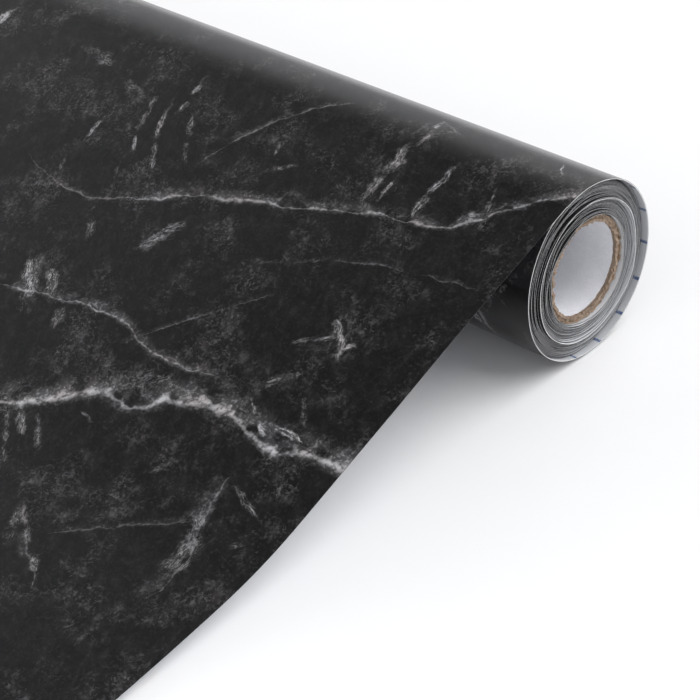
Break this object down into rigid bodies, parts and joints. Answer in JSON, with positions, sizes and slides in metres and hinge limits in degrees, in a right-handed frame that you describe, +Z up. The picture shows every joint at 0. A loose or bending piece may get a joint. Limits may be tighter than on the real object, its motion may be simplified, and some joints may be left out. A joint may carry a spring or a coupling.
{
  "type": "roll of self-adhesive sign vinyl",
  "caption": "Part-unrolled roll of black marble-look self-adhesive vinyl film on a paper liner, wound on a cardboard core.",
  "frame": {"origin": "bottom centre of the bounding box: the table under the middle of the roll and its unrolled sheet", "axes": "+X along the roll's axis towards the end whose outermost turn stands proud, +Z up, and the free sheet is pulled out towards -Y"},
  "size_m": [0.4524, 0.2832, 0.0486],
  "materials": {
    "white_paper": "matt white paper inside the bore",
    "kraft_board": "brown core board, rough cut ends",
    "kraft_paper": "brown kraft paper",
    "clear_tape": "clear double-sided tape",
    "black_film": "satin black film printed with fine white marble veins",
    "liner_paper": "siliconised white paper, printed with a thin blue grid on its back"
  },
  "bodies": {
    "free_web": {"web_liner": "liner_paper", "web_film": "black_film"},
    "roll": {"core_inner_ply": "white_paper", "core_board_ply_1": "kraft_board", "core_board_ply_2": "kraft_board", "core_outer_ply": "kraft_paper", "starter_tape": "clear_tape", "wound_liner": "liner_paper", "wound_film": "black_film"},
    "peeling_end": {"film_free_end": "black_film"}
  },
  "joints": [
    {"name": "roll_turn", "type": "hinge", "parent": "free_web", "child": "roll", "pos_m": [0, 0.11773, 0.02431], "axis": [1, 0, 0], "continuous": true},
    {"name": "film_peel", "type": "hinge", "parent": "free_web", "child": "peeling_end", "pos_m": [0, -0.0938, 0.00014], "axis": [-1, 0, 0], "range_deg": [0, 75]}
  ]
}
